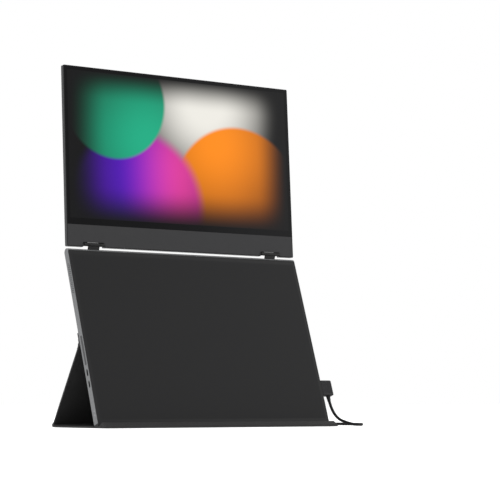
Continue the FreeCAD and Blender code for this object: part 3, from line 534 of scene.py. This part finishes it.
coverSettings = {
    "fine": 2600.0,
    "pores": 1500.0,
    "cloud": 9.0,
    "height": 0.2307,
    "border": (0.004, 0.0046),
    "low": (0.0050, 0.0050, 0.0053),
    "high": (0.0085, 0.0085, 0.0089),
    "grainHeight": 0.00006,
}


def frontCover(name):
    # A matt cover with a fine texture and a slightly smoother border
    s = coverSettings
    g = Graph(name)
    x, _, height = g.onPanel(basePlace)
    grain = g.noise(s["fine"], 2.0)
    pores = g.cells(s["pores"])
    cloud = g.noise(s["cloud"], 4.0)
    side = (x.maths("ABSOLUTE") * -1.0 + halfPanel * mm).within(*s["border"])
    foot = height.within(*s["border"])
    top = (s["height"] - height).within(*s["border"])
    field = side * foot * top
    g.link("Base Color", g.mix(cloud * 0.6 + grain * 0.4, s["low"], s["high"]))
    g.link("Roughness", field * 0.14 + cloud * 0.08 + 0.40)
    g.constant(Specular_IOR_Level=0.16)
    g.bump((grain * 0.5 + pores * 0.5) * field, 0.3, s["grainHeight"])
    return g.material


boardSettings = {"lanesAcross": 900.0, "lanesUp": 700.0, "cloud": 60.0, "laneHeight": 0.00005}


def circuitBoard(name):
    # Green lacquer over a grid of lighter lanes
    s = boardSettings
    g = Graph(name)
    x, _, height = g.onPanel(basePlace)
    grid = (x * s["lanesAcross"]).maths("SINE") * (height * s["lanesUp"]).maths("SINE")
    lanes = grid.within(0.1, 0.25)
    cloud = g.noise(s["cloud"], 3.0)
    board = g.mix(cloud, (0.008, 0.07, 0.025), (0.014, 0.11, 0.04))
    g.link("Base Color", g.mix(lanes, board, (0.02, 0.16, 0.06)))
    g.link("Roughness", cloud * 0.2 + 0.3)
    g.bump(lanes, 0.2, s["laneHeight"])
    return g.material


weaveSettings = {"threads": 9000.0, "threadHeight": 0.0001}


def woven(name, low, high):
    # Threads that cross: the product of two sine waves
    s = weaveSettings
    g = Graph(name)
    x, y, _ = g.axes()
    weave = (x * s["threads"]).maths("SINE") * (y * s["threads"]).maths("SINE") * 0.5 + 0.5
    g.link("Base Color", g.mix(weave, low, high))
    g.link("Roughness", weave * 0.1 + 0.75)
    g.bump(weave, 0.5, s["threadHeight"])
    return g.material


materialOf = {
    "aluminium_shell": blasted("aluminium_shell", (0.176, 0.179, 0.183), (0.232, 0.235, 0.239),
                               basePlace, baseOpenings),
    "chin_plastic": speckled("chin_plastic", (0.022, 0.022, 0.023), (0.029, 0.029, 0.030), 0.55, bump=0.25,
                             gloss=0.15),
    "cover_glass": screenGlass("cover_glass"),
    "lcd_glass": speckled("lcd_glass", (0.02, 0.02, 0.022), (0.035, 0.035, 0.04), 0.25),
    "white_plastic": speckled("white_plastic", (0.6, 0.6, 0.6), (0.7, 0.7, 0.7), 0.5),
    "circuit_board": circuitBoard("circuit_board"),
    "chip_black": speckled("chip_black", (0.012, 0.012, 0.012), (0.025, 0.025, 0.025), 0.5),
    "flex_film": speckled("flex_film", (0.35, 0.16, 0.03), (0.45, 0.22, 0.05), 0.4),
    "hinge_steel": speckled("hinge_steel", (0.005, 0.005, 0.005), (0.010, 0.010, 0.010), 0.42, gloss=0.2),
    "pin_steel": brushed("pin_steel", (0.35, 0.35, 0.36), (0.55, 0.55, 0.56), 0.35),
    "cover_plastic": frontCover("cover_plastic"),
    "plate_steel": brushed("plate_steel", (0.35, 0.35, 0.36), (0.5, 0.5, 0.5), 0.4),
    "speaker_plastic": speckled("speaker_plastic", (0.006, 0.006, 0.006), (0.012, 0.012, 0.012), 0.6,
                                gloss=0.2),
    "port_steel": brushed("port_steel", (0.10, 0.10, 0.105), (0.18, 0.18, 0.185), 0.35),
    "rocker_plastic": speckled("rocker_plastic", (0.035, 0.035, 0.037), (0.050, 0.050, 0.052), 0.45,
                               gloss=0.3),
    "lamp_plastic": speckled("lamp_plastic", (0.4, 0.42, 0.45), (0.5, 0.52, 0.55), 0.25),
    "stand_plate": leather("stand_plate"),
    "black_leather": leather("black_leather"),
    "toe_rubber": speckled("toe_rubber", (0.010, 0.010, 0.010), (0.018, 0.018, 0.018), 0.65, gloss=0.3),
    "magnet_steel": brushed("magnet_steel", (0.4, 0.4, 0.4), (0.55, 0.55, 0.55), 0.3),
    "plug_plastic": speckled("plug_plastic", (0.013, 0.013, 0.014), (0.021, 0.021, 0.022), 0.5, bump=0.25,
                             gloss=0.14),
    "relief_rubber": speckled("relief_rubber", (0.006, 0.006, 0.007), (0.011, 0.011, 0.012), 0.6, gloss=0.14),
    "plug_steel": brushed("plug_steel", (0.45, 0.45, 0.46), (0.6, 0.6, 0.61), 0.3),
    "cable_rubber": speckled("cable_rubber", (0.003, 0.003, 0.0035), (0.006, 0.006, 0.0065), 0.5, gloss=0.1),
    "tie_fabric": woven("tie_fabric", (0.01, 0.01, 0.01), (0.03, 0.03, 0.03)),
}
foldLeather = leather("folded_leather", 0.5)
# The display's shell gets the same painted shade along its front rim
darkShell = blasted("dark_aluminium_shell", (0.051, 0.052, 0.053), (0.075, 0.076, 0.078), displayPlace)
for entry in frame["record"]["subparts"]:
    mesh = nodes[entry["node"]].data
    mesh.materials.clear()
    mesh.materials.append(materialOf[entry["material_slot"]])
# The display's shell shares the lower panel's slot and has a darker finish
nodes["display_rear_shell"].data.materials[0] = darkShell
cable.data.materials.append(materialOf["cable_rubber"])
print("stage: materials made")


# New pieces: surfaces on a grid, from a formula for each point
def gridMesh(name, rows, columns, points, closedColumns=False, capped=False):
    # points holds rows times columns places in metres; faces look outwards when columns turn left
    wrap = columns if closedColumns else columns - 1
    row = np.arange(rows - 1)[:, None]
    column = np.arange(wrap)[None, :]
    following = (column + 1) % columns
    corners = [row * columns + column, row * columns + following]
    corners += [(row + 1) * columns + following, (row + 1) * columns + column]
    quads = np.stack([np.broadcast_to(c, (rows - 1, wrap)) for c in corners], axis=-1).reshape(-1, 4)
    faces = quads.tolist()
    if capped:
        faces.append(list(range(columns))[::-1])
        faces.append(list(range((rows - 1) * columns, rows * columns)))
    mesh = bpy.data.meshes.new(name)
    mesh.from_pydata(points.reshape(-1, 3).tolist(), [], faces)
    mesh.polygons.foreach_set("use_smooth", [True] * len(mesh.polygons))
    piece = bpy.data.objects.new(name, mesh)
    bpy.context.collection.objects.link(piece)
    return piece


def placed(points, matrix):
    # Local millimetres to the row frame in metres
    rotation = np.array(matrix.to_3x3())
    shift = np.array(matrix.translation)
    return (points * mm) @ rotation.T + shift


# Plug: its place on the lower panel and its sizes in millimetres. The last six are shares of its
# length, width or thickness
plugSettings = {
    "wallX": 177.9,
    "reach": 17.8,
    "exit": 9.9,
    "depth": 3.4,
    "thickness": 7.5,
    "corner": 1.9,
    "lowS": 37.0,
    "highS": 58.0,
    "ridges": 10,
    "grooveDepth": 0.34,
    "rows": 60,
    "columns": 480,
    "cornerSteps": 24,
    "endRounding": 0.07,
    "endNarrowing": 0.16,
    "plainEnds": 0.12,
    "grooveRunOut": 0.03,
    "ridgedShare": 0.8,
    "faceShare": 0.98,
}


def roundedSection(halfX, halfY, radius, count):
    # Even steps round a rectangle with rounded corners, turning left
    arcs = []
    for i, (sideX, sideY) in enumerate(((1, 1), (-1, 1), (-1, -1), (1, -1))):
        angle = np.radians(np.linspace(90 * i, 90 * i + 90, plugSettings["cornerSteps"]))
        x = sideX * (halfX - radius) + radius * np.cos(angle)
        y = sideY * (halfY - radius) + radius * np.sin(angle)
        arcs.append(np.stack([x, y], axis=-1))
    path = np.concatenate(arcs + [arcs[0][:1]])
    gone = np.concatenate([[0.0], np.cumsum(np.linalg.norm(np.diff(path, axis=0), axis=1))])
    at = np.linspace(0.0, gone[-1], count, endpoint=False)
    return np.interp(at, gone, path[:, 0]), np.interp(at, gone, path[:, 1])


def makePlugShell():
    # A rounded box section, narrowed at both ends along a quarter circle. Its front and back faces
    # carry fine grooves along its length: the root of a cosine wave across them
    s = plugSettings
    halfX = s["reach"] / 2
    halfY = s["thickness"] / 2
    x, y = roundedSection(halfX, halfY, s["corner"], s["columns"])
    x = x[None, :]
    y = y[None, :]
    along = np.linspace(0, 1, s["rows"])[:, None]
    fromEnd = np.minimum(along, 1 - along)
    rounding = np.clip(fromEnd / s["endRounding"], 0, 1)
    narrowing = s["endNarrowing"]
    shrink = np.sqrt(np.clip(1 - (1 - rounding) ** 2, 0, 1)) * narrowing + (1 - narrowing)
    grooved = np.clip((fromEnd - s["plainEnds"]) / s["grooveRunOut"], 0, 1)
    ridged = s["ridgedShare"] * halfX
    wave = 0.5 - 0.5 * np.cos((x / ridged + 1) * math.pi * s["ridges"])
    onFace = (np.abs(x) < ridged) * (np.abs(y) > halfY * s["faceShare"])
    groove = s["grooveDepth"] * np.sqrt(np.abs(wave)) * grooved * onFace
    px = s["wallX"] + halfX + x * np.where(x < 0, 1.0, shrink)
    py = s["depth"] + y * shrink - np.sign(y) * groove
    pz = s["lowS"] + along * (s["highS"] - s["lowS"]) + 0 * x
    points = np.stack([px, py, pz], axis=-1)
    points = placed(points.reshape(-1, 3), panelMatrix(basePlace))
    shell = gridMesh("plug_shell", s["rows"], s["columns"], points, True, True)
    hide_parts("plug_body")
    return shell, "base", "plug_plastic"


# Sleeve between plug and cable: thin where the cable leaves it, thick at the plug
sleeveSettings = {
    "lowS": 29.5,
    "length": 7.5,
    "thin": 2.3,
    "thick": 3.1,
    "rings": 4,
    "dip": 0.35,
    "ringShare": 0.97,
    "rows": 90,
    "columns": 40,
}


def makePlugSleeve():
    # A cone round the panel's own height axis, whose radius dips along a cosine wave between rings
    s = sleeveSettings
    angle = np.linspace(0, 2 * math.pi, s["columns"], endpoint=False)[None, :]
    along = np.linspace(0, 1, s["rows"])[:, None]
    dip = 0.5 - 0.5 * np.cos(along * 2 * math.pi * s["rings"])
    radius = s["thin"] + (s["thick"] - s["thin"]) * along - s["dip"] * dip * (along < s["ringShare"])
    height = along * s["length"] + 0 * angle
    points = np.stack([radius * np.cos(angle), radius * np.sin(angle), height], axis=-1)
    exitX = plugSettings["wallX"] + plugSettings["exit"]
    shift = Matrix.Translation((exitX * mm, plugSettings["depth"] * mm, s["lowS"] * mm))
    points = placed(points.reshape(-1, 3), panelMatrix(basePlace) @ shift)
    sleeve = gridMesh("plug_sleeve", s["rows"], s["columns"], points, True, True)
    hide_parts("plug_relief")
    return sleeve, "base", "relief_rubber"


# Tie round the coil: the strands it holds are given by their distance from the middle and height
tieSettings = {
    "turn": 100.0,
    "halfBand": 4.0,
    "thickness": 0.6,
    "clearance": 2.15,
    "rounding": 0.35,
    "edgeShare": 0.6,
    "strands": ((15.4, 2.8), (25.6, 2.8), (32.9, 7.8), (15.9, 7.8)),
    "cornerPoints": 14,
}


def makeTie():
    # The outline is the hull of the strands, grown by the clearance; the band has rounded edges
    s = tieSettings
    strands = s["strands"]
    corners = []
    for i, strand in enumerate(strands):
        before = strands[i - 1]
        after = strands[(i + 1) % len(strands)]
        first = math.atan2(before[0] - strand[0], strand[1] - before[1])
        last = math.atan2(strand[0] - after[0], after[1] - strand[1])
        angle = np.linspace(first, first + (last - first) % (2 * math.pi), s["cornerPoints"])
        corners.append([strand[0] + 0 * angle, strand[1] + 0 * angle, np.cos(angle), np.sin(angle)])
    middle, level, outX, outZ = np.concatenate(corners, axis=1)[:, None, :]
    half = s["halfBand"]
    full = s["thickness"]
    edge = full * s["edgeShare"]
    near = half - s["rounding"]
    profile = [(half, 0.0), (half, edge), (near, full), (-near, full), (-half, edge)]
    profile = np.array(profile + [(-half, 0.0), (half, 0.0)])
    growth = s["clearance"] + profile[:, 1:]
    radius = middle + growth * outX
    height = level + growth * outZ
    aside = profile[:, :1] + 0 * radius
    angle = coilSettings["startAngle"] + math.radians(s["turn"])
    x = coilSettings["centre"][0] + radius * math.cos(angle) - aside * math.sin(angle)
    y = coilSettings["centre"][1] + radius * math.sin(angle) + aside * math.cos(angle)
    points = np.stack([x, y, height], axis=-1).reshape(-1, 3) * mm
    band = gridMesh("tie_band", *radius.shape, points, True)
    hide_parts("coil_tie")
    return band, "base", "tie_fabric"


# The stand: leather that bridges its two folds. Places of the pins are in metres, and the other
# sizes in millimetres. A lift is how far a leaf's face stands off the pin's axis
kneePlace = Vector((0.0, 0.000007, 0.103662))
footPlace = Vector((0.0, 0.0654, 0.0026))
foldSettings = {
    "tail": 7.0,
    "tailEase": 3.5,
    "arcFrom": 0.35,
    "thickness": 0.4,
    "offFloor": 0.05,
    "blendReach": 3.0,
    "rows": 81,
    "columns": 61,
}
kneeSettings = {"radius": 2.75, "firstLift": 0.1, "lastLift": 1.35}
footSettings = {"radius": 2.85, "firstLift": 1.35, "lastLift": 2.6}


def makeFold(name, settings, centre, firstDirection, lastDirection):
    # Straight tails along both leaves, joined by an arc round the pin; the same line all along X
    s = foldSettings
    first = Vector(firstDirection).normalized()
    last = Vector(lastDirection).normalized()
    startAngle = math.atan2(-first.y, first.z)
    endAngle = math.atan2(last.y, -last.z)
    turn = (endAngle - startAngle + math.pi) % (2 * math.pi) - math.pi
    t = np.linspace(0, 1, s["columns"])
    arcFrom = s["arcFrom"]
    arcTo = 1 - arcFrom
    angle = startAngle + turn * np.clip((t - arcFrom) / (arcTo - arcFrom), 0, 1)
    tailFirst = np.clip(arcFrom - t, 0, None) / arcFrom * s["tail"]
    tailLast = np.clip(t - arcTo, 0, None) / arcFrom * s["tail"]
    radius = settings["radius"]
    reach = radius + (settings["firstLift"] - radius) * smooth(tailFirst / s["tailEase"])
    reach = reach + (settings["lastLift"] - radius) * smooth(tailLast / s["tailEase"])
    y = reach * np.cos(angle) + tailFirst * first.y + tailLast * last.y
    z = reach * np.sin(angle) + tailFirst * first.z + tailLast * last.z
    # Where the leather reaches the floor it is pressed flat
    z = np.maximum(z, s["offFloor"] - centre[2] / mm)
    # The rows run so that the faces look away from the pin
    x = np.linspace(-halfPanel, halfPanel, s["rows"]) * math.copysign(1, turn)
    grid = np.stack(np.broadcast_arrays(x[:, None], y[None, :], z[None, :]), axis=-1)
    points = grid.reshape(-1, 3) * mm + np.array(centre)
    fold = gridMesh(name, s["rows"], s["columns"], points)
    thick = fold.modifiers.new("thickness", "SOLIDIFY")
    thick.thickness = s["thickness"] * mm
    thick.offset = -1.0
    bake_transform(fold)
    fold.data.materials.append(foldLeather)


def dress(piece, body, slotName):
    piece.data.materials.append(materialOf[slotName])
    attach(piece, body)
    return piece


plugShell = dress(*makePlugShell())
plugSleeve = dress(*makePlugSleeve())
tieBand = dress(*makeTie())
plainEnds = [nodes[name] for name in ("plug_tip", "far_plug_relief", "far_plug_body", "far_plug_tip")]
[plugShell, plugSleeve, tieBand] + plainEnds

baseUp = panelMatrix(basePlace).to_3x3() @ Vector((0, 0, 1))
legDown = (footPlace - kneePlace).normalized()
flapForward = Vector((0, -1, 0))
makeFold("knee_fold", kneeSettings, kneePlace, baseUp, legDown)
makeFold("foot_fold", footSettings, footPlace, -legDown, flapForward)

# Softer edges on the leather and on the panels, where light catches them, in millimetres
edgeSettings = {
    "display_rear_shell": 0.35,
    "base_rear_shell": 0.35,
    "base_front_cover": 0.25,
    "display_chin_cover": 0.12,
    "stand_fixed_strip": 0.5,
    "leg_skin_outer": 0.35,
    "leg_skin_inner": 0.35,
    "flap_skin_top": 0.3,
    "flap_skin_bottom": 0.3,
    "toe_board": 0.8,
    "toe_fold": 1.0,
    "far_plug_body": 0.3,
    "rocker_button": 0.35,
}
for nodeName, width in edgeSettings.items():
    bevel = nodes[nodeName].modifiers.new("edge", "BEVEL")
    bevel.width = width * mm
    bevel.segments = 3
    bevel.limit_method = "ANGLE"
    bevel.angle_limit = math.radians(40)
    bevel.harden_normals = False
print("stage: new pieces made")

# Floor, backdrop and light. A lamp is its place, its width and its power
lightSettings = {
    "skyCamera": 1.0,
    "skyLight": 0.9,
    "key": ((-1.6, -1.4, 1.8), 1.6, 34.0),
    "fill": ((1.7, -1.2, 1.2), 1.6, 14.0),
    "rim": ((0.3, 1.8, 1.6), 1.4, 16.0),
    "aim": (0.0, 0.0, 0.2),
}
floorSettings = {"reach": 12.0, "drop": 0.0003, "low": 0.93, "high": 0.95, "seenGlow": 0.22}


def grey(value):
    return (value, value, value)


def makeFloor():
    s = floorSettings
    mesh = bpy.data.meshes.new("floor")
    reach = s["reach"]
    corners = [(-reach, -reach, 0.0), (reach, -reach, 0.0), (reach, reach, 0.0), (-reach, reach, 0.0)]
    mesh.from_pydata(corners, [], [(0, 1, 2, 3)])
    floor = bpy.data.objects.new("floor", mesh)
    floor.location.z = -s["drop"]
    bpy.context.collection.objects.link(floor)
    g = Graph("floor")
    g.constant(Roughness=0.9, Specular_IOR_Level=0.0)
    g.link("Base Color", g.mix(g.noise(3.0), grey(s["low"]), grey(s["high"])))
    seen = g.node("ShaderNodeLightPath", "Is Camera Ray")
    g.link("Emission Color", g.mix(seen, grey(0.0), grey(s["seenGlow"])))
    g.constant(Emission_Strength=1.0)
    mesh.materials.append(g.material)
    floor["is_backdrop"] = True


def makeWorld():
    world = bpy.data.worlds.new("studio")
    world.use_nodes = True
    tree = world.node_tree
    background = tree.nodes["Background"]
    paths = tree.nodes.new("ShaderNodeLightPath")
    mixer = tree.nodes.new("ShaderNodeMix")
    mixer.data_type = "FLOAT"
    mixer.inputs[2].default_value = lightSettings["skyLight"]
    mixer.inputs[3].default_value = lightSettings["skyCamera"]
    tree.links.new(paths.outputs["Is Camera Ray"], mixer.inputs[0])
    tree.links.new(mixer.outputs[0], background.inputs["Strength"])
    background.inputs["Color"].default_value = (1.0, 1.0, 1.0, 1.0)
    bpy.context.scene.world = world


def makeLight(name, place, width, power):
    data = bpy.data.lights.new(name, "AREA")
    data.size = width
    data.energy = power
    lamp = bpy.data.objects.new(name, data)
    lamp.location = place
    aim = Vector(lightSettings["aim"]) - Vector(place)
    lamp.rotation_euler = aim.to_track_quat("-Z", "Y").to_euler()
    bpy.context.collection.objects.link(lamp)


makeFloor()
makeWorld()
for lightName in ("key", "fill", "rim"):
    makeLight(lightName, *lightSettings[lightName])
bpy.context.scene.view_settings.view_transform = "Standard"
print("stage: floor and light made")

{"frame": frameBox, "finished": boxNow()}
